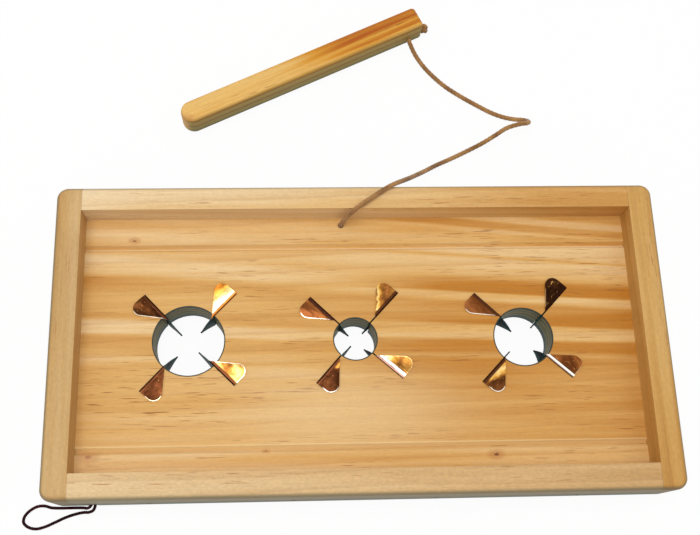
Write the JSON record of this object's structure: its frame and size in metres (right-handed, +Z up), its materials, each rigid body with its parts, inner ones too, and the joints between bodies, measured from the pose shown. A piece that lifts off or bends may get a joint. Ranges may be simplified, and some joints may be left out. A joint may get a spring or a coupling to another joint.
{
  "type": "olive slitting board",
  "caption": "Nailed pine tray whose holes are ringed by folded steel blades that slit olives pushed through, with a wooden pusher on a twine tether and a cord loop to hang it.",
  "frame": {"origin": "middle of the board's outline, on its underside where it stands", "axes": "+X right along the board's length, +Y to its back, +Z up"},
  "size_m": [0.3558, 0.3168, 0.0369],
  "materials": {
    "frame_pine": "planed, unfinished, pale",
    "panel_pine": "planed, unfinished, warm",
    "pusher_pine": "sanded, edges rounded",
    "blade_steel": "bright rolled stainless sheet",
    "nail_steel": "bright",
    "twine": "twisted natural fibre",
    "loop_cord": "thin dark maroon cord"
  },
  "bodies": {
    "board": {"left_stile": "frame_pine", "right_stile": "frame_pine", "back_rail": "frame_pine", "front_rail": "frame_pine", "centre_board": "panel_pine", "back_board": "panel_pine", "front_board": "panel_pine", "corner_nails": "nail_steel", "panel_nails": "nail_steel", "large_blade_1": "blade_steel", "large_blade_2": "blade_steel", "large_blade_3": "blade_steel", "large_blade_4": "blade_steel", "small_blade_1": "blade_steel", "small_blade_2": "blade_steel", "small_blade_3": "blade_steel", "small_blade_4": "blade_steel", "medium_blade_1": "blade_steel", "medium_blade_2": "blade_steel", "medium_blade_3": "blade_steel", "medium_blade_4": "blade_steel", "tether_cord": "twine", "tether_panel_knot": "twine", "hanging_loop": "loop_cord", "loop_knot": "loop_cord"},
    "pusher": {"pusher": "pusher_pine", "pusher_knot": "twine"}
  },
  "joints": [
    {"name": "pusher_lift", "type": "slide", "parent": "board", "child": "pusher", "axis": [0, 0, 1], "range_m": [0, 0.06], "deforming": ["tether_cord"]}
  ]
}
